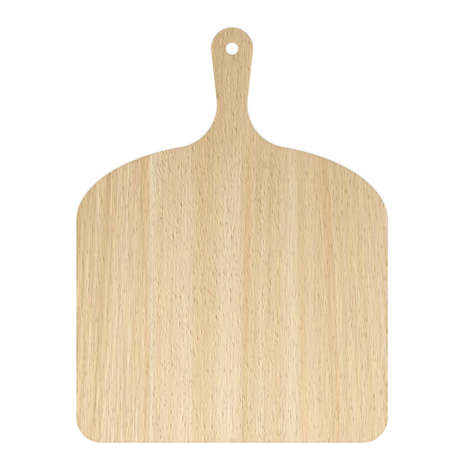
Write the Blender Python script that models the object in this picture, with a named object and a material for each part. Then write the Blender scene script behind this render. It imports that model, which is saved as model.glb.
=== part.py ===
# Bread peel: a flat board, glued up edge to edge from beech staves and sawn to one outline with a broad
# blade, sloping shoulders and a short handle with a hanging hole.
# Metres, +Z up. The board lies flat on z = 0, centred on the origin, with its handle towards +Y.

import math

import bmesh
import bpy
from mathutils import Vector

# Blade
THICKNESS = 0.009
BLADE_WIDTH = 0.300
BLADE_SIDE = 0.214  # straight side, from the front edge to the start of the shoulder
SHOULDER_RISE = 0.075  # from the start of the shoulder up to the crown of its arch
CORNER_RADIUS = 0.024  # front corners
EDGE_ROUND = 0.002  # round-over along both faces, outside and in the hole

# Handle
HANDLE_LENGTH = 0.111  # from the crown of the shoulders to the tip
HANDLE_END_RADIUS = 0.0203
HANDLE_ROOT_WIDTH = 0.021  # between the tapered sides, carried on down to the crown
NECK_FILLET = 0.0415  # hollow sweep from the shoulder into the handle
HOLE_DIAMETER = 0.012  # hanging hole, at the centre of the round end

# Staves and the glue between them. The outer staves take what is left of the blade's width.
HANDLE_STAVE_LEFT_MARGIN = 0.0179  # from the widest part of the handle to the joint on its left
HANDLE_STAVE_RIGHT_MARGIN = 0.0259
LEFT_INNER_STAVE_WIDTH = 0.0415  # from joint to joint
RIGHT_INNER_STAVE_WIDTH = 0.0371
GLUE_FILM = 0.0002
GLUE_CLEARANCE = 0.00005  # between the film and the stave on each side

# Fineness of the curves
CHORD_ERROR = 0.00005  # most that a straight step may leave the true arc
EDGE_ROUND_SEGMENTS = 3
SOLVER_STEPS = 60  # halvings when the neck's place on the shoulder is looked for
WELD_DISTANCE = 0.000001
SHARP_ANGLE = math.radians(40)
CUTTER_MARGIN = 0.01  # how far a cutter runs past the board

# Finish
WOOD_ROUGHNESS = 0.6
GLUE_COLOUR = (0.52, 0.36, 0.19, 1.0)
GLUE_ROUGHNESS = 0.45

CROWN = BLADE_SIDE + SHOULDER_RISE
OVERALL_LENGTH = CROWN + HANDLE_LENGTH


def clear_scene():
    for obj in list(bpy.data.objects):
        bpy.data.objects.remove(obj, do_unlink=True)


def new_collection(name):
    collection = bpy.data.collections.new(name)
    bpy.context.scene.collection.children.link(collection)
    return collection


def new_material(name, colour, roughness):
    material = bpy.data.materials.new(name)
    material.use_nodes = True
    shader = material.node_tree.nodes["Principled BSDF"]
    shader.inputs["Base Color"].default_value = colour
    shader.inputs["Roughness"].default_value = roughness
    shader.inputs["Metallic"].default_value = 0.0
    material.diffuse_color = colour
    return material


def arc(center, radii, start, end):
    # Points of a circle or an upright ellipse from one angle to another, both ends included.
    step = 2 * math.acos(1 - CHORD_ERROR / max(radii))
    count = math.ceil(abs(end - start) / step)
    points = []
    for i in range(count + 1):
        angle = start + (end - start) * i / count
        points.append(center + Vector((radii[0] * math.cos(angle), radii[1] * math.sin(angle))))
    return points


def circle_arc(center, radius, start, end):
    return arc(center, (radius, radius), start, end)


def heading(direction):
    return math.atan2(direction.y, direction.x)


def shoulder_point(angle):
    return Vector((BLADE_WIDTH / 2 * math.cos(angle), BLADE_SIDE + SHOULDER_RISE * math.sin(angle)))


def shoulder_normal(angle):
    return Vector((SHOULDER_RISE * math.cos(angle), BLADE_WIDTH / 2 * math.sin(angle))).normalized()


def neck_angle(root, handle_normal, fillet):
    # Where on the shoulder's arch the neck starts, so that its arc also just touches the handle's side.
    low, high = 0.0, math.pi / 2
    for _ in range(SOLVER_STEPS):
        middle = (low + high) / 2
        center = shoulder_point(middle) + fillet * shoulder_normal(middle)
        if (center - root).dot(handle_normal) > fillet:
            low = middle
        else:
            high = middle
    return low


def right_half_outline():
    # From the front corner round to the tip. x runs from the handle's axis, y from the front edge.
    half_width = BLADE_WIDTH / 2
    end_center = Vector((0, OVERALL_LENGTH - HANDLE_END_RADIUS))

    # The handle's side leaves its root and runs tangent into the round end.
    root = Vector((HANDLE_ROOT_WIDTH / 2, CROWN))
    to_end = end_center - root
    side_heading = heading(to_end) - math.asin(HANDLE_END_RADIUS / to_end.length)
    handle_normal = Vector((math.sin(side_heading), -math.cos(side_heading)))
    side_end = end_center + HANDLE_END_RADIUS * handle_normal

    # The neck's hollow can't be longer than the side it runs into.
    fillet = min(NECK_FILLET, (side_end - root).length)
    neck_start = neck_angle(root, handle_normal, fillet)
    shoulder_out = shoulder_normal(neck_start)
    neck_center = shoulder_point(neck_start) + fillet * shoulder_out
    full_turn = 2 * math.pi

    points = circle_arc(
        Vector((half_width - CORNER_RADIUS, CORNER_RADIUS)), CORNER_RADIUS, -math.pi / 2, 0
    )
    points += arc(Vector((0, BLADE_SIDE)), (half_width, SHOULDER_RISE), 0, neck_start)
    points += circle_arc(
        neck_center, fillet, heading(-shoulder_out) % full_turn, heading(-handle_normal) % full_turn
    )[1:]
    points += circle_arc(end_center, HANDLE_END_RADIUS, heading(handle_normal), math.pi / 2)
    return points


def board_outline():
    right = right_half_outline()
    left = [Vector((-point.x, point.y)) for point in reversed(right[:-1])]
    return right + left


def hole_outline():
    center = Vector((0, OVERALL_LENGTH - HANDLE_END_RADIUS))
    return circle_arc(center, HOLE_DIAMETER / 2, 2 * math.pi, 0)[:-1]


def add_loop(curve, points):
    spline = curve.splines.new("POLY")
    spline.points.add(len(points) - 1)
    for spline_point, point in zip(spline.points, points):
        spline_point.co = (point.x, point.y, 0, 1)
    spline.use_cyclic_u = True


def board_mesh():
    # The whole board, sawn, drilled and rounded, before it is parted into its staves.
    curve = bpy.data.curves.new("board_outline", "CURVE")
    curve.dimensions = "2D"
    curve.fill_mode = "BOTH"
    curve.extrude = THICKNESS / 2 - EDGE_ROUND
    curve.bevel_depth = EDGE_ROUND
    curve.bevel_resolution = EDGE_ROUND_SEGMENTS - 1
    curve.offset = -EDGE_ROUND
    add_loop(curve, board_outline())
    add_loop(curve, hole_outline())
    outline = bpy.data.objects.new("board_outline", curve)
    bpy.context.scene.collection.objects.link(outline)

    graph = bpy.context.evaluated_depsgraph_get()
    mesh = bpy.data.meshes.new_from_object(outline.evaluated_get(graph))
    bpy.data.objects.remove(outline, do_unlink=True)

    bm = bmesh.new()
    bm.from_mesh(mesh)
    bmesh.ops.remove_doubles(bm, verts=bm.verts, dist=WELD_DISTANCE)
    bmesh.ops.recalc_face_normals(bm, faces=bm.faces)
    bm.to_mesh(mesh)
    bm.free()
    mesh.materials.clear()
    mesh.shade_smooth()
    mesh.set_sharp_from_angle(angle=SHARP_ANGLE)
    return mesh


def add_cutter(name, left, right, collection):
    # An upright box across the whole length of the board, from one side plane to the other.
    bpy.ops.mesh.primitive_cube_add(
        size=1,
        location=((left + right) / 2, 0, THICKNESS / 2),
        scale=(right - left, OVERALL_LENGTH + 2 * CUTTER_MARGIN, THICKNESS + 2 * CUTTER_MARGIN),
    )
    cutter = bpy.context.object
    cutter.name = name
    cutter.hide_render = True
    cutter.display_type = "WIRE"
    for owner in list(cutter.users_collection):
        owner.objects.unlink(cutter)
    collection.objects.link(cutter)
    return cutter


def add_strip(name, left, right, material):
    # One strip of the board, between two upright planes.
    mesh = board.copy()
    mesh.name = name
    mesh.materials.append(material)
    strip = bpy.data.objects.new(name, mesh)
    parts.objects.link(strip)
    strip.parent = peel
    strip.location = (0, -OVERALL_LENGTH / 2, THICKNESS / 2)

    trim = strip.modifiers.new("trim_to_width", "BOOLEAN")
    trim.operation = "INTERSECT"
    trim.solver = "EXACT"
    trim.object = add_cutter(name + "_cutter", left, right, cutters)


clear_scene()
parts = new_collection("bread_peel")
cutters = new_collection("cutters")
peel = bpy.data.objects.new("peel", None)
parts.objects.link(peel)
board = board_mesh()

# Glue joints, as distances from the handle's axis.
left_inner_joint = -(HANDLE_END_RADIUS + HANDLE_STAVE_LEFT_MARGIN)
left_outer_joint = left_inner_joint - LEFT_INNER_STAVE_WIDTH
right_inner_joint = HANDLE_END_RADIUS + HANDLE_STAVE_RIGHT_MARGIN
right_outer_joint = right_inner_joint + RIGHT_INNER_STAVE_WIDTH
board_left = -BLADE_WIDTH / 2 - CUTTER_MARGIN
board_right = BLADE_WIDTH / 2 + CUTTER_MARGIN

# Each stave with the lines it lies between and its wood's own tone, from left to right.
STAVES = (
    ("left_outer_stave", board_left, left_outer_joint, (0.72, 0.53, 0.31, 1.0)),
    ("left_inner_stave", left_outer_joint, left_inner_joint, (0.78, 0.61, 0.40, 1.0)),
    ("handle_stave", left_inner_joint, right_inner_joint, (0.73, 0.54, 0.32, 1.0)),
    ("right_inner_stave", right_inner_joint, right_outer_joint, (0.79, 0.62, 0.41, 1.0)),
    ("right_outer_stave", right_outer_joint, board_right, (0.73, 0.55, 0.33, 1.0)),
)
GLUE_LINES = (
    ("left_outer_glue_line", left_outer_joint),
    ("left_inner_glue_line", left_inner_joint),
    ("right_inner_glue_line", right_inner_joint),
    ("right_outer_glue_line", right_outer_joint),
)

# A stave stops short of its joint by half the film and the film's clearance.
half_joint = GLUE_FILM / 2 + GLUE_CLEARANCE
for name, left, right, tone in STAVES:
    wood = new_material(name, tone, WOOD_ROUGHNESS)
    add_strip(name, left + half_joint, right - half_joint, wood)

for name, joint in GLUE_LINES:
    glue = new_material(name, GLUE_COLOUR, GLUE_ROUGHNESS)
    add_strip(name, joint - GLUE_FILM / 2, joint + GLUE_FILM / 2, glue)

bpy.data.meshes.remove(board)
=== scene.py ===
import math

import bmesh
import bpy
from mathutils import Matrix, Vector


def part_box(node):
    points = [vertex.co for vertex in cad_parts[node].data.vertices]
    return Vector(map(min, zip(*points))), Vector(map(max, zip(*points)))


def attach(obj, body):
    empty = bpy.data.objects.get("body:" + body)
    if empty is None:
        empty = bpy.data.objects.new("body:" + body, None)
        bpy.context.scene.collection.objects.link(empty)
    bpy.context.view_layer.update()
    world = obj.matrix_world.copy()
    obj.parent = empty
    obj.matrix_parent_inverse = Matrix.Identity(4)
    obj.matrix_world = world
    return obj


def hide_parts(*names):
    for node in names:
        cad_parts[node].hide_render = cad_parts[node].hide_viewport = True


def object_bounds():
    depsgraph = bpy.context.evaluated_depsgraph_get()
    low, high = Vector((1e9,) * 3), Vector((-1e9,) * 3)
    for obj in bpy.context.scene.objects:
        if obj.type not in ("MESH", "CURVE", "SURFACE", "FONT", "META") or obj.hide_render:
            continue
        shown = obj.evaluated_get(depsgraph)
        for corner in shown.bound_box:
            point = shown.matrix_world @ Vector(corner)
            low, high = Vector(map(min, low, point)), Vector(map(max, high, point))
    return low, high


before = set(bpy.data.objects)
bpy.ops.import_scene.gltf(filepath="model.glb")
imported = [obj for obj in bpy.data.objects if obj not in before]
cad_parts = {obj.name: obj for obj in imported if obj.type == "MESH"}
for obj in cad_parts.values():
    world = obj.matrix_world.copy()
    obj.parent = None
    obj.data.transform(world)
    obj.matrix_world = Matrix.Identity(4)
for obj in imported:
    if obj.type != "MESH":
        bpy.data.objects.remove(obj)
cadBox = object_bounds()
boardLow, boardHigh = cadBox
millimetres = 1000.0  # the wood is described in millimetres, the board itself is in metres
print("frame loaded, board", [round(side, 4) for side in boardHigh - boardLow])


# small helpers for shader trees

def addNode(tree, kind, **settings):
    node = tree.nodes.new(kind)
    for name, value in settings.items():
        setattr(node, name, value)
    return node


def feed(tree, socket, value):
    # a socket is linked, a number or colour is set
    if isinstance(value, bpy.types.NodeSocket):
        tree.links.new(value, socket)
    else:
        socket.default_value = value


def maths(tree, operation, *values, clamp=False):
    node = addNode(tree, "ShaderNodeMath", operation=operation, use_clamp=clamp)
    for socket, value in zip(node.inputs, values):
        feed(tree, socket, value)
    return node.outputs[0]


def vectors(tree, operation, *values):
    node = addNode(tree, "ShaderNodeVectorMath", operation=operation)
    for socket, value in zip(node.inputs, values):
        feed(tree, socket, value)
    return node.outputs["Value" if operation == "LENGTH" else "Vector"]


def combine(tree, x, y, z):
    node = addNode(tree, "ShaderNodeCombineXYZ")
    for socket, value in zip(node.inputs, (x, y, z)):
        feed(tree, socket, value)
    return node.outputs[0]


def separate(tree, vector):
    node = addNode(tree, "ShaderNodeSeparateXYZ")
    feed(tree, node.inputs[0], vector)
    return node.outputs


def ramped(tree, value, low, high, toLow=0.0, toHigh=1.0, smooth=False):
    node = addNode(tree, "ShaderNodeMapRange", interpolation_type="SMOOTHSTEP" if smooth else "LINEAR")
    for socket, part in zip(node.inputs, (value, low, high, toLow, toHigh)):
        feed(tree, socket, part)
    return node.outputs[0]


def mixed(tree, blend, amount, first, second):
    # inputs 6 and 7 and output 2 are the colours among the sockets of a Mix node
    node = addNode(tree, "ShaderNodeMix", data_type="RGBA", blend_type=blend)
    feed(tree, node.inputs["Factor"], amount)
    feed(tree, node.inputs[6], first)
    feed(tree, node.inputs[7], second)
    return node.outputs[2]


def noise(tree, place, detail, roughness=0.5):
    node = addNode(tree, "ShaderNodeTexNoise", noise_dimensions="3D")
    feed(tree, node.inputs["Vector"], place)
    feed(tree, node.inputs["Scale"], 1.0)
    feed(tree, node.inputs["Detail"], detail)
    feed(tree, node.inputs["Roughness"], roughness)
    return node.outputs[0]


def swing(tree, place, detail, roughness=0.5):
    # noise that swings to both sides of zero
    return maths(tree, "SUBTRACT", noise(tree, place, detail, roughness), 0.5)


def newGroup(name, inputs, outputs):
    group = bpy.data.node_groups.new(name, "ShaderNodeTree")
    for label, kind, value in inputs:
        socket = group.interface.new_socket(name=label, in_out="INPUT", socket_type=kind)
        if value is not None:
            socket.default_value = value
    for label, kind in outputs:
        group.interface.new_socket(name=label, in_out="OUTPUT", socket_type=kind)
    start = group.nodes.new("NodeGroupInput")
    end = group.nodes.new("NodeGroupOutput")
    return group, start.outputs, end.inputs


def placeGroup(tree, group, **values):
    node = addNode(tree, "ShaderNodeGroup", node_tree=group)
    for label, value in values.items():
        feed(tree, node.inputs[label], value)
    return node.outputs


def newMaterial(name):
    material = bpy.data.materials.new(name)
    material.use_nodes = True
    return material, material.node_tree


floatKind, vectorKind, colourKind = "NodeSocketFloat", "NodeSocketVector", "NodeSocketColor"
plainBeech = (0.7, 0.5, 0.3, 1.0)


# the grain's slow sway per millimetre across and along, and how far apart the staves lie in the noise
grainSway = dict(across=0.03, along=0.009, staveStep=100.0)


# where a point lies in the tree the stave was sawn from: across the rings, along the grain, through
def makeGrainPlace():
    group, given, out = newGroup(
        "grainPlace",
        [
            ("middle", floatKind, 0.0),
            ("lean", floatKind, 0.0),
            ("bow", floatKind, 0.0),
            ("fan", floatKind, 0.0),
            ("follow", floatKind, 1.0),
            ("ringTilt", floatKind, 0.0),
            ("wander", floatKind, 0.0),
            ("seed", floatKind, 0.0),
        ],
        [("place", vectorKind), ("across", floatKind), ("along", floatKind)],
    )
    coords = addNode(group, "ShaderNodeTexCoord")
    x, y, z = separate(group, vectors(group, "MULTIPLY", coords.outputs["Object"], (millimetres,) * 3))
    slowAcross = maths(group, "MULTIPLY", x, grainSway["across"])
    slowAlong = maths(group, "MULTIPLY", y, grainSway["along"])
    sway = swing(group, combine(group, slowAcross, slowAlong, given["seed"]), 0.0)
    drift = maths(group, "MULTIPLY", sway, given["wander"])
    lean = maths(group, "ADD", given["lean"], maths(group, "MULTIPLY", y, given["bow"]))
    fromMiddle = maths(group, "SUBTRACT", x, given["middle"])
    lean = maths(group, "ADD", lean, maths(group, "MULTIPLY", fromMiddle, given["fan"]))
    depth = maths(group, "SUBTRACT", z, boardHigh.z * millimetres)
    tilted = maths(group, "SUBTRACT", x, maths(group, "MULTIPLY", depth, given["ringTilt"]))
    swayed = maths(group, "ADD", tilted, drift)
    offset = maths(group, "MULTIPLY", y, lean)
    fibreAcross = maths(group, "SUBTRACT", swayed, maths(group, "MULTIPLY", offset, given["follow"]))
    seeded = maths(group, "ADD", z, maths(group, "MULTIPLY", given["seed"], grainSway["staveStep"]))
    feed(group, out["place"], combine(group, fibreAcross, y, seeded))
    feed(group, out["across"], maths(group, "SUBTRACT", swayed, offset))
    feed(group, out["along"], y)
    return group


# spacing and half size of the rays across, along and through the board in millimetres
broadRays = dict(spacing=(3.1, 8.2, 16.0), halfSize=(0.88, 4.5, 13.0), fewer=1.2)
fineRays = dict(spacing=(1.75, 5.8, 10.0), halfSize=(0.72, 3.5, 9.0), fewer=0.8)
rayShape = dict(
    ruffle=1.0,  # how far the fibres push a ray aside
    ruffleScale=(0.35, 0.2, 0.2),
    ruffleDetail=1.0,
    scatter=0.85,
    frontFade=(-190.0, -110.0),  # toward the front edge the rays stand straighter
    frontSlant=0.2,
    slantSpread=0.07,
    sizes=(0.75, 1.12),
    core=0.25,  # the part of the half size that is fully dark
    sides=(1.6, 3.0),  # the paler wood lies between these widths of the ray
)


# one layer of spindle-shaped rays, dark where they come to the face, with paler wood along both sides
def makeRayFlecks():
    group, given, out = newGroup(
        "rayFlecks",
        [
            ("place", vectorKind, None),
            ("spacing", vectorKind, broadRays["spacing"]),
            ("halfSize", vectorKind, broadRays["halfSize"]),
            ("fewer", floatKind, 1.0),
            ("slant", floatKind, 0.0),
        ],
        [("mask", floatKind), ("sides", floatKind)],
    )
    rufflePlace = vectors(group, "MULTIPLY", given["place"], rayShape["ruffleScale"])
    ruffle = swing(group, rufflePlace, rayShape["ruffleDetail"])
    nudge = maths(group, "MULTIPLY", ruffle, rayShape["ruffle"])
    place = vectors(group, "ADD", given["place"], combine(group, nudge, 0.0, 0.0))
    cell = vectors(group, "DIVIDE", place, given["spacing"])
    cells = addNode(group, "ShaderNodeTexVoronoi", voronoi_dimensions="3D", feature="F1")
    feed(group, cells.inputs["Vector"], cell)
    feed(group, cells.inputs["Scale"], 1.0)
    feed(group, cells.inputs["Randomness"], rayShape["scatter"])
    chance = addNode(group, "ShaderNodeSeparateColor")
    feed(group, chance.inputs[0], cells.outputs["Color"])
    strengthChance, sizeChance, slantChance = chance.outputs

    fromCenter = vectors(group, "SUBTRACT", cell, cells.outputs["Position"])
    aside, ahead, below = separate(group, vectors(group, "MULTIPLY", fromCenter, given["spacing"]))
    along = separate(group, given["place"])[1]
    slantShare = ramped(group, along, *rayShape["frontFade"], rayShape["frontSlant"], 1.0)
    spread = rayShape["slantSpread"]
    ownSlant = ramped(group, slantChance, 0.0, 1.0, -spread, spread)
    slant = maths(group, "ADD", maths(group, "MULTIPLY", slantShare, given["slant"]), ownSlant)
    straightened = maths(group, "ADD", aside, maths(group, "MULTIPLY", ahead, slant))
    away = combine(group, straightened, ahead, below)
    size = ramped(group, sizeChance, 0.0, 1.0, *rayShape["sizes"])
    strength = maths(group, "POWER", strengthChance, given["fewer"])

    def spindle(widen):
        halfSize = vectors(group, "MULTIPLY", given["halfSize"], (widen, 1.0, 1.0))
        reach = vectors(group, "LENGTH", vectors(group, "DIVIDE", away, halfSize))
        share = maths(group, "DIVIDE", reach, size)
        return ramped(group, share, rayShape["core"], 1.0, 1.0, 0.0, smooth=True)

    body = spindle(1.0)
    inner, outer = [spindle(widen) for widen in rayShape["sides"]]
    beside = maths(group, "MULTIPLY", outer, maths(group, "SUBTRACT", 1.0, inner))
    feed(group, out["mask"], maths(group, "MULTIPLY", body, strength))
    feed(group, out["sides"], maths(group, "MULTIPLY", beside, maths(group, "SQRT", strength)))
    return group


# wood that lightens gains more blue than green and less red, so its hue holds
lightening = dict(red=0.88, blue=1.28)


def lightenedBy(tree, gain):
    red = maths(tree, "POWER", gain, lightening["red"])
    blue = maths(tree, "POWER", gain, lightening["blue"])
    return red, gain, blue


# toward the handle the wood is painted warmer and darker, a painted shade where the front lamp's sheen
# fades, and its figure is stronger; places along the board in millimetres
towardHandle = dict(along=(-30.0, 80.0), tone=(0.975, 0.955, 0.925, 1.0), rays=1.16, fibres=1.3)

# the layers of the figure, with their sizes across, along and through the board in millimetres
beech = dict(
    dash=dict(size=(0.9, 18.0, 3.0), detail=0.0, roughness=0.55),
    dashStep=0.85,  # a dark dash and a pale one lie this far to each side
    thread=dict(size=(1.0, 110.0, 5.0), detail=1.0, roughness=0.55),
    streak=dict(size=(2.2, 300.0, 6.0), detail=2.0, roughness=0.6),
    yellowCloud=dict(size=(7.0, 17.0, 8.0), detail=1.0, roughness=0.55),
    pinkCloud=dict(size=(6.0, 26.0, 9.0), detail=1.0, roughness=0.55),
    pinkShare=0.14,
    paleShare=0.55,  # wood beside the rays
    paleLevel=-0.024,
    rayTone=(0.52, 0.41, 0.24),
    fibreRange=(-0.2, 0.2),
    fibreRoughness=(0.48, 0.40),
    fibreHeight=0.6,
    rayRoughness=0.08,
    rayDepth=0.5,
)


# all that the wood of one stave shows on top of its broad tone bands
def makeBeechFigure(rayFlecks):
    group, given, out = newGroup(
        "beechFigure",
        [
            ("tone", colourKind, plainBeech),
            ("place", vectorKind, None),
            ("fleckStrength", floatKind, 0.5),
            ("speckStrength", floatKind, 0.3),
            ("fleckSlant", floatKind, 0.0),
            ("fleckLength", floatKind, 1.0),
            ("fleckWidth", floatKind, 1.0),
            ("streakStrength", floatKind, 0.2),
            ("fibreStrength", floatKind, 0.2),
            ("dashStrength", floatKind, 0.2),
            ("blush", floatKind, 0.1),
        ],
        [("colour", colourKind), ("roughness", floatKind), ("height", floatKind)],
    )
    place = given["place"]
    nearHandle = ramped(group, separate(group, place)[1], *towardHandle["along"], smooth=True)
    rayGain = ramped(group, nearHandle, 0.0, 1.0, 1.0, towardHandle["rays"])
    fibreGain = ramped(group, nearHandle, 0.0, 1.0, 1.0, towardHandle["fibres"])

    def layer(name, aside=0.0):
        moved = vectors(group, "ADD", place, (aside, 0.0, 0.0))
        scaled = vectors(group, "DIVIDE", moved, beech[name]["size"])
        return swing(group, scaled, beech[name]["detail"], beech[name]["roughness"])

    # short dashes, fine threads and long streaks
    rightDash = layer("dash", beech["dashStep"])
    leftDash = layer("dash", -beech["dashStep"])
    dashPair = maths(group, "SUBTRACT", rightDash, leftDash)
    dash = maths(group, "MULTIPLY", dashPair, given["dashStrength"])
    thread = maths(group, "MULTIPLY", layer("thread"), given["fibreStrength"])
    fibre = maths(group, "ADD", dash, thread)
    streak = maths(group, "MULTIPLY", layer("streak"), given["streakStrength"])
    light = maths(group, "ADD", fibre, streak)

    # broad flecks and fine specks, where the rays come to the face
    raySize = combine(group, given["fleckWidth"], given["fleckLength"], 1.0)
    rayPlace = vectors(group, "DIVIDE", place, raySize)
    masks, sides = [], []
    for rays, strength in ((broadRays, given["fleckStrength"]), (fineRays, given["speckStrength"])):
        flecks = placeGroup(group, rayFlecks, place=rayPlace, slant=given["fleckSlant"], **rays)
        masks.append(maths(group, "MULTIPLY", flecks["mask"], strength))
        sides.append(maths(group, "MULTIPLY", flecks["sides"], strength))
    darks = maths(group, "MULTIPLY", maths(group, "MAXIMUM", *masks), rayGain, clamp=True)
    beside = maths(group, "MAXIMUM", *sides)
    pales = maths(group, "MULTIPLY_ADD", beside, beech["paleShare"], beech["paleLevel"])
    pales = maths(group, "MULTIPLY", pales, rayGain)

    gain = maths(group, "ADD", maths(group, "MULTIPLY_ADD", light, fibreGain, pales), 1.0)
    red, green, blue = lightenedBy(group, gain)
    pinks = maths(group, "MULTIPLY_ADD", layer("pinkCloud"), beech["pinkShare"], 1.0)
    yellows = maths(group, "MULTIPLY_ADD", layer("yellowCloud"), given["blush"], 1.0)
    green = maths(group, "DIVIDE", green, pinks)
    blue = maths(group, "MULTIPLY", blue, yellows)
    shaded = vectors(group, "MULTIPLY", given["tone"], combine(group, red, green, blue))
    # painted shade: warmer and darker toward the handle, away from the front lamp
    shaded = mixed(group, "MULTIPLY", nearHandle, shaded, towardHandle["tone"])
    rayTone = vectors(group, "MULTIPLY", shaded, beech["rayTone"])
    feed(group, out["colour"], mixed(group, "MIX", darks, shaded, rayTone))

    sheen = ramped(group, fibre, *beech["fibreRange"], *beech["fibreRoughness"])
    feed(group, out["roughness"], maths(group, "MULTIPLY_ADD", darks, beech["rayRoughness"], sheen))
    ridges = maths(group, "MULTIPLY", fibre, beech["fibreHeight"])
    grooves = maths(group, "MULTIPLY", darks, beech["rayDepth"])
    feed(group, out["height"], maths(group, "SUBTRACT", ridges, grooves))
    return group


sharpShare = 0.34  # of the sharp colour that stays in softened bands


# tone bands whose colours run softer into each other than their lightness does
def makeSoftBands():
    group, given, out = newGroup(
        "softBands",
        [
            ("sharp", colourKind, plainBeech),
            ("leftward", colourKind, plainBeech),
            ("rightward", colourKind, plainBeech),
        ],
        [("tone", colourKind)],
    )

    def lightness(colour):
        grey = addNode(group, "ShaderNodeRGBToBW")
        feed(group, grey.inputs[0], colour)
        return grey.outputs[0]

    soft = mixed(group, "MIX", 0.5, given["leftward"], given["rightward"])
    soft = mixed(group, "MIX", sharpShare, soft, given["sharp"])
    lift = maths(group, "DIVIDE", lightness(given["sharp"]), lightness(soft))
    relit = vectors(group, "MULTIPLY", soft, combine(group, *lightenedBy(group, lift)))
    feed(group, out["tone"], relit)
    return group


# the tone of one side of a stave changes toward one end
def makeToneShift():
    group, given, out = newGroup(
        "toneShift",
        [
            ("tone", colourKind, plainBeech),
            ("along", floatKind, 0.0),
            ("across", floatKind, 0.0),
            ("alongFrom", floatKind, 0.0),
            ("alongTo", floatKind, 1.0),
            ("acrossFrom", floatKind, 0.0),
            ("acrossTo", floatKind, 1.0),
            ("tint", colourKind, (1.0, 1.0, 1.0, 1.0)),
        ],
        [("tone", colourKind)],
    )
    toEnd = ramped(group, given["along"], given["alongFrom"], given["alongTo"], smooth=True)
    toSide = ramped(group, given["across"], given["acrossFrom"], given["acrossTo"], smooth=True)
    amount = maths(group, "MULTIPLY", toEnd, toSide)
    feed(group, out["tone"], mixed(group, "MULTIPLY", amount, given["tone"], given["tint"]))
    return group


# zones of the edge: how far a face has turned from the flat, or to an end, where each begins and is full;
# the start, arris and side tints are painted light (a painted shade where the round-over starts, a painted
# sheen on the arris, painted light on the side), the end grain's tint is its own darker colour
edgeZones = dict(
    start=dict(turn=(0.995, 0.92), tint=(1.02, 0.99, 0.95, 1.0)),
    arris=dict(turn=(0.98, 0.78), tint=(1.19, 1.29, 1.52, 1.0)),
    side=dict(turn=(0.30, 0.05), tint=(1.04, 1.02, 1.00, 1.0)),
    endGrain=dict(turn=(0.35, 0.95), tint=(0.97, 0.96, 0.95, 1.0)),
)


# painted light on the edges: a painted shade where the round-over starts, a painted sheen on the arris and
# painted light on the side, with the end grain's own darker colour
def makeEdgeSheenAndEndGrain():
    group, given, out = newGroup(
        "edgeSheenAndEndGrain",
        [("colour", colourKind, plainBeech)],
        [("colour", colourKind)],
    )
    geometry = addNode(group, "ShaderNodeNewGeometry")
    facing = separate(group, geometry.outputs["Normal"])
    ends = maths(group, "ABSOLUTE", facing[1])
    flat = maths(group, "ABSOLUTE", facing[2])

    def zone(name, turned):
        return ramped(group, turned, *edgeZones[name]["turn"], smooth=True)

    side = zone("side", flat)
    masks = dict(
        start=zone("start", flat),
        arris=maths(group, "SUBTRACT", zone("arris", flat), side),
        side=side,
        endGrain=zone("endGrain", ends),
    )
    colour = given["colour"]
    for name, mask in masks.items():
        colour = mixed(group, "MULTIPLY", mask, colour, edgeZones[name]["tint"])
    feed(group, out["colour"], colour)
    return group


grainPlace = makeGrainPlace()
beechFigure = makeBeechFigure(makeRayFlecks())
softBands = makeSoftBands()
toneShift = makeToneShift()
edgeSheenAndEndGrain = makeEdgeSheenAndEndGrain()
print("wood effects built")


# tones of the wood, as bare sanded beech shows them
tones = dict(
    ivory=(0.797, 0.616, 0.398, 1.0),
    cream=(0.777, 0.600, 0.376, 1.0),
    straw=(0.766, 0.607, 0.372, 1.0),
    peach=(0.782, 0.590, 0.359, 1.0),
    shell=(0.748, 0.572, 0.341, 1.0),
    pale=(0.745, 0.567, 0.327, 1.0),
    rose=(0.745, 0.553, 0.314, 1.0),
    tan=(0.720, 0.523, 0.274, 1.0),
    wheat=(0.692, 0.516, 0.262, 1.0),
    honey=(0.714, 0.513, 0.254, 1.0),
    amber=(0.688, 0.473, 0.218, 1.0),
    brown=(0.652, 0.445, 0.190, 1.0),
)

woodFinish = dict(bumpStrength=0.35, bumpDistance=0.0002, gloss=0.65)


def bandColour(tree, across, bands):
    first, last = bands[0][0], bands[-1][0]
    ramp = addNode(tree, "ShaderNodeValToRGB")
    feed(tree, ramp.inputs[0], ramped(tree, across, float(first), float(last)))
    stops = ramp.color_ramp.elements
    stops.remove(stops[1])
    stops[0].position = 0.0
    stops[0].color = tones[bands[0][1]]
    for place, tone in bands[1:]:
        stops.new((place - first) / (last - first)).color = tones[tone]
    return ramp.outputs[0]


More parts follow.
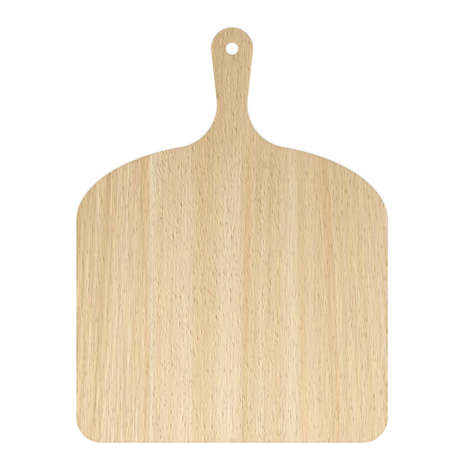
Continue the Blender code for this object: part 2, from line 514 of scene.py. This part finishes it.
def woodMaterial(stave):
    material, tree = newMaterial(stave["node"] + "Beech")
    shader = tree.nodes["Principled BSDF"]
    low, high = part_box(stave["node"])
    middle = (low.x + high.x) / 2 * millimetres
    grain = placeGroup(tree, grainPlace, middle=middle, **stave["grain"])
    across, along = grain["across"], grain["along"]
    tone = bandColour(tree, across, stave["bands"])
    if "softBands" in stave:
        leftward = bandColour(tree, maths(tree, "SUBTRACT", across, stave["softBands"]), stave["bands"])
        rightward = bandColour(tree, maths(tree, "ADD", across, stave["softBands"]), stave["bands"])
        tone = placeGroup(tree, softBands, sharp=tone, leftward=leftward, rightward=rightward)["tone"]
    for shift in stave.get("toneShifts", []):
        tone = placeGroup(tree, toneShift, tone=tone, along=along, across=across, **shift)["tone"]
    if "handled" in stave:  # evened out and deeper where hands have held it
        handled = stave["handled"]
        held = ramped(tree, along, *handled["along"], 0.0, handled["amount"], smooth=True)
        toRight = ramped(tree, across, *handled["across"])
        heldTone = mixed(tree, "MIX", toRight, handled["leftTone"], handled["rightTone"])
        tone = mixed(tree, "MIX", held, tone, heldTone)
    figure = placeGroup(tree, beechFigure, tone=tone, place=grain["place"], **stave["figure"])
    # painted sheen, shade and light on the rounded edges, with the end grain's own darker colour
    colour = placeGroup(tree, edgeSheenAndEndGrain, colour=figure["colour"])["colour"]
    if "holeShade" in stave:  # painted shade, greyer and a little darker on the round-over into the hole
        holeShade = stave["holeShade"]
        coords = addNode(tree, "ShaderNodeTexCoord")
        fromCenter = vectors(tree, "SUBTRACT", coords.outputs["Object"], holeShade["center"])
        level = vectors(tree, "MULTIPLY", fromCenter, (1.0, 1.0, 0.0))
        near = ramped(tree, vectors(tree, "LENGTH", level), *holeShade["radii"], smooth=True)
        colour = mixed(tree, "MULTIPLY", near, colour, holeShade["tone"])
    bump = addNode(tree, "ShaderNodeBump")
    feed(tree, bump.inputs["Strength"], woodFinish["bumpStrength"])
    feed(tree, bump.inputs["Distance"], woodFinish["bumpDistance"])
    feed(tree, bump.inputs["Height"], figure["height"])
    feed(tree, shader.inputs["Base Color"], colour)
    feed(tree, shader.inputs["Roughness"], figure["roughness"])
    feed(tree, shader.inputs["Normal"], bump.outputs[0])
    feed(tree, shader.inputs["Specular IOR Level"], woodFinish["gloss"])
    return material


# cured wood glue, its lumps in millimetres
glueLook = dict(
    seed=9.0,
    lumps=(2.0, 6.0, 2.0),
    lumpDetail=3.0,
    dark=(0.60, 0.42, 0.22, 1.0),
    light=(0.68, 0.50, 0.28, 1.0),
    lumpRange=(0.3, 0.7),
    roughness=(0.4, 0.6),
)


def glueMaterial():
    material, tree = newMaterial("curedGlue")
    shader = tree.nodes["Principled BSDF"]
    grain = placeGroup(tree, grainPlace, seed=glueLook["seed"])
    scaled = vectors(tree, "DIVIDE", grain["place"], glueLook["lumps"])
    lumps = noise(tree, scaled, glueLook["lumpDetail"])
    colour = mixed(tree, "MIX", lumps, glueLook["dark"], glueLook["light"])
    roughness = ramped(tree, lumps, *glueLook["lumpRange"], *glueLook["roughness"])
    feed(tree, shader.inputs["Base Color"], colour)
    feed(tree, shader.inputs["Roughness"], roughness)
    return material


# the board's outline, as sawn, in metres
boardShape = dict(
    bladeSide=0.214,
    shoulderRise=0.075,
    cornerRadius=0.024,
    endRadius=0.0203,
    handleLength=0.111,
    rootWidth=0.021,
    neckSweep=0.0415,
    holeAcross=0.012,
    edgeRound=0.002,
    edgeSteps=7,
    chordSlip=0.00001,  # how far a curve may stray between two points
    mergeWithin=0.000001,
    sharpAngle=40,
    flatWeight=100,
    halvings=60,
)


def arcPoints(center, radii, start, end):
    step = 2 * math.acos(1 - boardShape["chordSlip"] / max(radii))
    count = math.ceil(abs(end - start) / step)
    angles = [start + (end - start) * i / count for i in range(count + 1)]
    return [center + Vector((radii[0] * math.cos(a), radii[1] * math.sin(a))) for a in angles]


def rightHalf():
    # from the front corner round to the tip, x from the handle's middle line, y from the front edge
    halfWidth = (boardHigh.x - boardLow.x) / 2
    side, rise = boardShape["bladeSide"], boardShape["shoulderRise"]
    endRadius, cornerRadius = boardShape["endRadius"], boardShape["cornerRadius"]
    crown = side + rise
    endCenter = Vector((0, crown + boardShape["handleLength"] - endRadius))
    root = Vector((boardShape["rootWidth"] / 2, crown))
    toEnd = endCenter - root
    heading = math.atan2(toEnd.y, toEnd.x) - math.asin(endRadius / toEnd.length)
    outward = Vector((math.sin(heading), -math.cos(heading)))
    sweep = boardShape["neckSweep"]

    def shoulder(angle):
        return Vector((halfWidth * math.cos(angle), side + rise * math.sin(angle)))

    def sweepCenter(angle):
        normal = Vector((rise * math.cos(angle), halfWidth * math.sin(angle))).normalized()
        return shoulder(angle) + sweep * normal

    low, high = 0.0, math.pi / 2
    for _ in range(boardShape["halvings"]):  # until the neck's sweep just touches the handle's side
        middle = (low + high) / 2
        if (sweepCenter(middle) - root).dot(outward) > sweep:
            low = middle
        else:
            high = middle
    neck = sweepCenter(low)
    fromShoulder = shoulder(low) - neck
    startAngle = math.atan2(fromShoulder.y, fromShoulder.x) % (2 * math.pi)
    endAngle = math.atan2(-outward.y, -outward.x) % (2 * math.pi)
    corner = Vector((halfWidth - cornerRadius, cornerRadius))
    points = arcPoints(corner, (cornerRadius,) * 2, -math.pi / 2, 0)
    points += arcPoints(Vector((0, side)), (halfWidth, rise), 0, low)
    points += arcPoints(neck, (sweep,) * 2, startAngle, endAngle)[1:]
    points += arcPoints(endCenter, (endRadius,) * 2, math.atan2(outward.y, outward.x), math.pi / 2)
    return points, endCenter


def addLoop(curve, points):
    spline = curve.splines.new("POLY")
    spline.points.add(len(points) - 1)
    for place, point in zip(spline.points, points):
        place.co = (point.x, point.y, 0, 1)
    spline.use_cyclic_u = True


def wholeBoard():
    # the glued-up board, sawn, drilled and rounded over, before it is parted into staves again
    right, endCenter = rightHalf()
    left = [Vector((-point.x, point.y)) for point in reversed(right[:-1])]
    holeRadius = boardShape["holeAcross"] / 2
    curve = bpy.data.curves.new("boardOutline", "CURVE")
    curve.dimensions = "2D"
    curve.fill_mode = "BOTH"
    curve.bevel_depth = boardShape["edgeRound"]
    curve.bevel_resolution = boardShape["edgeSteps"] - 1
    curve.offset = -boardShape["edgeRound"]
    curve.extrude = (boardHigh.z - boardLow.z) / 2 - boardShape["edgeRound"]
    addLoop(curve, right + left)
    addLoop(curve, arcPoints(endCenter, (holeRadius,) * 2, 2 * math.pi, 0)[:-1])
    outline = bpy.data.objects.new("boardOutline", curve)
    bpy.context.scene.collection.objects.link(outline)
    mesh = bpy.data.meshes.new_from_object(outline.evaluated_get(bpy.context.evaluated_depsgraph_get()))
    bpy.data.objects.remove(outline)
    bpy.data.curves.remove(curve)
    board = bmesh.new()
    board.from_mesh(mesh)
    bpy.data.meshes.remove(mesh)
    bmesh.ops.remove_doubles(board, verts=board.verts, dist=boardShape["mergeWithin"])
    bmesh.ops.recalc_face_normals(board, faces=board.faces)
    shift = Vector((0, boardLow.y, (boardLow.z + boardHigh.z) / 2))
    bmesh.ops.translate(board, verts=board.verts, vec=shift)
    return board


def stripOf(board, name, left, right):
    # what lies between two upright planes, with the sawn faces closed again
    strip = board.copy()
    for place, outward in ((left, -1), (right, 1)):
        if place is None:
            continue
        cut = bmesh.ops.bisect_plane(
            strip,
            geom=strip.verts[:] + strip.edges[:] + strip.faces[:],
            dist=boardShape["mergeWithin"],
            plane_co=(place, 0, 0),
            plane_no=(outward, 0, 0),
            clear_outer=True,
        )
        rim = [part for part in cut["geom_cut"] if isinstance(part, bmesh.types.BMEdge)]
        bmesh.ops.edgenet_fill(strip, edges=rim)
    bmesh.ops.recalc_face_normals(strip, faces=strip.faces)
    mesh = bpy.data.meshes.new(name)
    strip.to_mesh(mesh)
    strip.free()
    mesh.shade_smooth()
    mesh.set_sharp_from_angle(angle=math.radians(boardShape["sharpAngle"]))
    piece = bpy.data.objects.new(name, mesh)
    bpy.context.scene.collection.objects.link(piece)
    normals = piece.modifiers.new("flatFacesLead", "WEIGHTED_NORMAL")
    normals.keep_sharp = True
    normals.weight = boardShape["flatWeight"]
    return piece


def seam(node):
    low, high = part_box(node)
    return low.x, high.x


# the staves from left to right, with the places of their tone bands across the board in millimetres
leftOuter = dict(
    node="left_outer_stave",
    softBands=1.6,
    grain=dict(lean=0.054, bow=-0.00007, fan=-0.00024, follow=0.3, ringTilt=0.8, wander=1.0, seed=1.0),
    bands=[
        (-146.5, "brown"), (-144.5, "rose"), (-141.8, "amber"), (-137, "pale"), (-133.5, "amber"),
        (-129.8, "cream"), (-127.5, "tan"), (-123.8, "tan"), (-121.8, "brown"), (-120.4, "brown"),
        (-118.4, "pale"), (-115, "amber"), (-111.8, "cream"), (-109.2, "tan"), (-106.5, "cream"),
        (-104.6, "tan"), (-102.8, "cream"), (-101, "cream"), (-98.2, "tan"), (-95.2, "rose"),
        (-92.4, "peach"), (-89.5, "tan"), (-86.2, "honey"), (-82.5, "tan"), (-79.6, "pale"),
        (-76.8, "honey"), (-73.5, "amber"), (-69, "honey"),
    ],
    toneShifts=[
        dict(
            alongFrom=-25.0, alongTo=45.0, acrossFrom=-100.0, acrossTo=-95.0,
            tint=(0.955, 0.935, 0.905, 1.0),
        ),
        dict(
            alongFrom=-105.0, alongTo=-150.0, acrossFrom=-92.0, acrossTo=-86.0,
            tint=(1.02, 1.04, 1.10, 1.0),
        ),
    ],
    figure=dict(
        fleckStrength=0.30, speckStrength=0.76, fleckSlant=0.0, fleckLength=1.25, fleckWidth=0.9,
        streakStrength=0.15, fibreStrength=0.66, dashStrength=0.27, blush=0.26,
    ),
)
leftInner = dict(
    node="left_inner_stave",
    grain=dict(lean=0.018, bow=0.0, fan=0.0, follow=0.5, ringTilt=1.6, wander=2.0, seed=2.0),
    bands=[
        (-79, "straw"), (-76.2, "straw"), (-73.8, "shell"), (-67, "tan"), (-64.5, "peach"), (-61.5, "rose"),
        (-58.6, "shell"), (-56.2, "tan"), (-54.5, "shell"), (-53, "rose"), (-50, "shell"), (-47, "shell"),
        (-44.5, "peach"), (-42.8, "shell"), (-39, "shell"), (-37, "peach"), (-35, "peach"),
    ],
    toneShifts=[
        dict(
            alongFrom=-10.0, alongTo=45.0, acrossFrom=-65.0, acrossTo=-70.0,
            tint=(1.04, 1.07, 1.16, 1.0),
        ),
        dict(
            alongFrom=-130.0, alongTo=-180.0, acrossFrom=-58.0, acrossTo=-66.0,
            tint=(0.965, 0.965, 0.985, 1.0),
        ),
    ],
    figure=dict(
        fleckStrength=0.96, speckStrength=0.66, fleckSlant=0.17, fleckLength=1.0, fleckWidth=1.12,
        streakStrength=0.08, fibreStrength=0.36, dashStrength=0.18, blush=0.15,
    ),
)
handleStave = dict(
    node="handle_stave",
    softBands=1.1,
    grain=dict(lean=0.024, bow=0.00005, fan=0.0, follow=0.5, ringTilt=2.2, wander=1.5, seed=3.0),
    handled=dict(
        along=(45.0, 105.0), across=(-6.0, 14.0), amount=0.75,
        leftTone=(0.680, 0.485, 0.247, 1.0), rightTone=(0.732, 0.548, 0.306, 1.0),
    ),
    # painted shade on the round-over into the hole
    holeShade=dict(
        center=(0.0, boardHigh.y - boardShape["endRadius"], 0.0),
        radii=(0.0084, 0.0068),
        tone=(0.95, 0.95, 0.96, 1.0),
    ),
    bands=[
        (-40, "rose"), (-37, "rose"), (-34.6, "tan"), (-31, "honey"), (-21.8, "honey"), (-18.6, "rose"),
        (-15.8, "wheat"), (-13.5, "pale"), (-10, "pale"), (-7.5, "straw"), (-5.8, "cream"), (-3.4, "shell"),
        (-1.2, "ivory"), (3.4, "shell"), (5.4, "ivory"), (8.2, "tan"), (9.8, "cream"), (11.5, "tan"),
        (13, "amber"), (16.8, "amber"), (19.4, "rose"), (21.6, "wheat"), (25, "wheat"), (29.2, "shell"),
        (32.5, "rose"), (36.5, "wheat"), (41, "rose"), (43.5, "tan"), (47, "honey"),
    ],
    toneShifts=[
        dict(
            alongFrom=-10.0, alongTo=55.0, acrossFrom=20.0, acrossTo=26.0,
            tint=(0.965, 0.94, 0.875, 1.0),
        ),
        dict(
            alongFrom=-115.0, alongTo=-165.0, acrossFrom=-10.0, acrossTo=-4.0,
            tint=(0.972, 0.976, 0.985, 1.0),
        ),
    ],
    figure=dict(
        fleckStrength=0.84, speckStrength=0.63, fleckSlant=0.14, fleckLength=1.05, fleckWidth=1.12,
        streakStrength=0.10, fibreStrength=0.36, dashStrength=0.20, blush=0.20,
    ),
)
rightInner = dict(
    node="right_inner_stave",
    grain=dict(lean=-0.012, bow=0.0, fan=-0.0008, follow=0.5, ringTilt=1.0, wander=1.5, seed=4.0),
    bands=[
        (45, "rose"), (48.8, "pale"), (51.8, "pale"), (54.8, "cream"), (58.6, "straw"), (62, "pale"),
        (64.2, "tan"), (67.4, "honey"), (72.4, "pale"), (76, "rose"), (77.6, "rose"), (80, "tan"),
    ],
    toneShifts=[
        dict(
            alongFrom=-110.0, alongTo=-165.0, acrossFrom=66.0, acrossTo=58.0,
            tint=(0.960, 0.955, 0.955, 1.0),
        ),
    ],
    figure=dict(
        fleckStrength=0.38, speckStrength=0.66, fleckSlant=0.05, fleckLength=1.35, fleckWidth=1.0,
        streakStrength=0.10, fibreStrength=0.34, dashStrength=0.18, blush=0.22,
    ),
)
rightOuter = dict(
    node="right_outer_stave",
    grain=dict(lean=-0.0755, bow=-0.000135, fan=-0.001, follow=0.5, ringTilt=-0.7, wander=1.0, seed=5.0),
    bands=[
        (80, "rose"), (84.8, "wheat"), (87.8, "tan"), (91.2, "amber"), (93.5, "honey"), (95.2, "amber"),
        (98.4, "pale"), (102.8, "wheat"), (104.6, "wheat"), (107.2, "pale"), (113, "wheat"), (116.4, "pale"),
        (121.8, "wheat"), (127.6, "pale"), (132.5, "rose"), (134.4, "wheat"), (137.2, "cream"),
        (140.2, "wheat"), (143.2, "cream"), (146, "tan"), (148, "cream"),
    ],
    figure=dict(
        fleckStrength=0.25, speckStrength=0.87, fleckSlant=0.0, fleckLength=1.35, fleckWidth=0.86,
        streakStrength=0.15, fibreStrength=0.34, dashStrength=0.28, blush=0.10,
    ),
)
staves = [leftOuter, leftInner, handleStave, rightInner, rightOuter]
seams = ["left_outer_glue_line", "left_inner_glue_line", "right_inner_glue_line", "right_outer_glue_line"]

board = wholeBoard()
edges = [None] + [side for node in seams for side in seam(node)] + [None]
for stave, left, right in zip(staves, edges[0::2], edges[1::2]):
    piece = stripOf(board, stave["node"] + "_wood", left, right)
    piece.data.materials.append(woodMaterial(stave))
    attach(piece, "root")
    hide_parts(stave["node"])
print("staves sawn and finished")

glue = glueMaterial()
for node in seams:
    piece = stripOf(board, node + "_film", *seam(node))
    piece.data.materials.append(glue)
    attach(piece, "root")
    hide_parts(node)
board.free()
print("glue lines laid")


def seenDirectly(tree):
    # what the camera, gloss and glass see, apart from the light that falls on the board
    path = addNode(tree, "ShaderNodeLightPath")
    direct = maths(tree, "MAXIMUM", path.outputs["Is Camera Ray"], path.outputs["Is Glossy Ray"])
    return maths(tree, "MAXIMUM", direct, path.outputs["Is Transmission Ray"])


# white sweep under the board
floorLook = dict(halfSize=6.0, below=0.0002, bounce=0.8, seen=0.14, glow=0.90)


def makeFloor():
    grid = bmesh.new()
    bmesh.ops.create_grid(grid, x_segments=1, y_segments=1, size=floorLook["halfSize"])
    mesh = bpy.data.meshes.new("floor")
    grid.to_mesh(mesh)
    grid.free()
    floor = bpy.data.objects.new("floor", mesh)
    floor.location.z = boardLow.z - floorLook["below"]
    bpy.context.scene.collection.objects.link(floor)
    material, tree = newMaterial("whiteSweep")
    tree.nodes.remove(tree.nodes["Principled BSDF"])
    plain = addNode(tree, "ShaderNodeBsdfDiffuse")
    plain.inputs["Color"].default_value = (floorLook["bounce"],) * 3 + (1.0,)
    seen = addNode(tree, "ShaderNodeBsdfDiffuse")
    seen.inputs["Color"].default_value = (floorLook["seen"],) * 3 + (1.0,)
    glow = addNode(tree, "ShaderNodeEmission")
    glow.inputs["Strength"].default_value = floorLook["glow"]
    both = addNode(tree, "ShaderNodeAddShader")
    feed(tree, both.inputs[0], seen.outputs[0])
    feed(tree, both.inputs[1], glow.outputs[0])
    choice = addNode(tree, "ShaderNodeMixShader")
    feed(tree, choice.inputs[0], seenDirectly(tree))
    feed(tree, choice.inputs[1], plain.outputs[0])
    feed(tree, choice.inputs[2], both.outputs[0])
    feed(tree, tree.nodes["Material Output"].inputs["Surface"], choice.outputs[0])
    mesh.materials.append(material)


makeFloor()


# soft light: an even white room and one broad lamp above the front edge
lightLook = dict(room=0.505, lampPower=7.2, lampPlace=(0.0, -0.38, 1.2), lampSize=(0.5, 0.3))


def makeLight():
    world = bpy.data.worlds.new("whiteRoom")
    bpy.context.scene.world = world
    world.use_nodes = True
    tree = world.node_tree
    background = tree.nodes["Background"]
    background.inputs["Color"].default_value = (1.0, 1.0, 1.0, 1.0)
    strength = ramped(tree, seenDirectly(tree), 0.0, 1.0, lightLook["room"], 1.0)
    feed(tree, background.inputs["Strength"], strength)
    lamp = bpy.data.lights.new("frontSoftbox", "AREA")
    lamp.shape = "RECTANGLE"
    lamp.size, lamp.size_y = lightLook["lampSize"]
    lamp.energy = lightLook["lampPower"]
    holder = bpy.data.objects.new("frontSoftbox", lamp)
    holder.location = lightLook["lampPlace"]
    holder.visible_camera = False
    bpy.context.scene.collection.objects.link(holder)


makeLight()


# camera square above the board, framed as the photograph
cameraLook = dict(
    lens=200.0,
    sensor=36.0,
    frameWidth=0.4477,
    middle=(0.0004, 0.0025),
    outlineHeight=0.007,  # where the board is widest as seen from above
    clipEnd=20.0,
)


def makeCamera():
    camera = bpy.data.cameras.new("overhead")
    camera.lens = cameraLook["lens"]
    camera.sensor_width = cameraLook["sensor"]
    camera.clip_end = cameraLook["clipEnd"]
    holder = bpy.data.objects.new("overhead", camera)
    away = cameraLook["frameWidth"] * camera.lens / camera.sensor_width
    holder.location = (*cameraLook["middle"], cameraLook["outlineHeight"] + away)
    bpy.context.scene.collection.objects.link(holder)
    bpy.context.scene.camera = holder
    bpy.context.scene.view_settings.view_transform = "Standard"


makeCamera()
print("floor, light and camera set")
